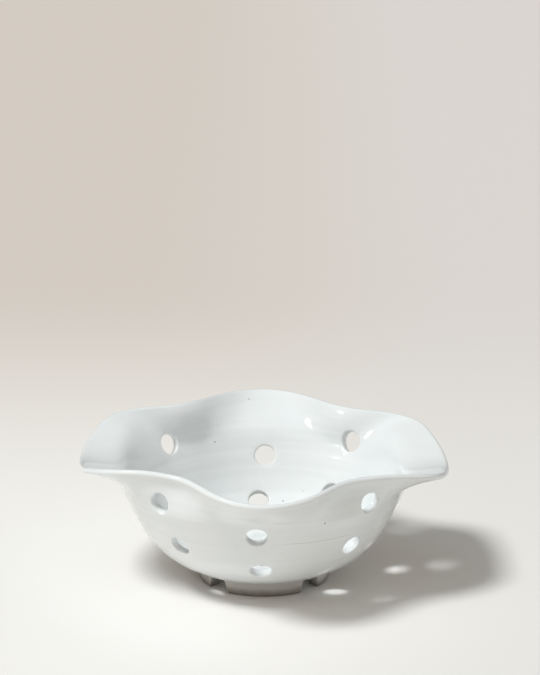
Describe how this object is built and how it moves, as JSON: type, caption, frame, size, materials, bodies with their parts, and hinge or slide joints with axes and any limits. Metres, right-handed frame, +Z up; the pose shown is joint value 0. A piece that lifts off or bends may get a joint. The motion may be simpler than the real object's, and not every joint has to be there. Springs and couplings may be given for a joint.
{
  "type": "berry colander bowl",
  "caption": "Thrown ceramic colander bowl for rinsing berries, with a rim pulled into soft lobes, drain holes through wall and floor, and a notched foot ring.",
  "frame": {"origin": "on the wheel axis of the bowl, at the table plane under its foot", "axes": "+Z up, -Y towards the front lobe of the rim, +X towards the right lobe"},
  "size_m": [0.2011, 0.2025, 0.0784],
  "materials": {
    "glaze": "gloss",
    "foot_glaze": "satin"
  },
  "bodies": {
    "root": {"bowl": "glaze", "foot_front": "foot_glaze", "foot_right": "foot_glaze", "foot_back": "foot_glaze", "foot_left": "foot_glaze"}
  },
  "joints": []
}
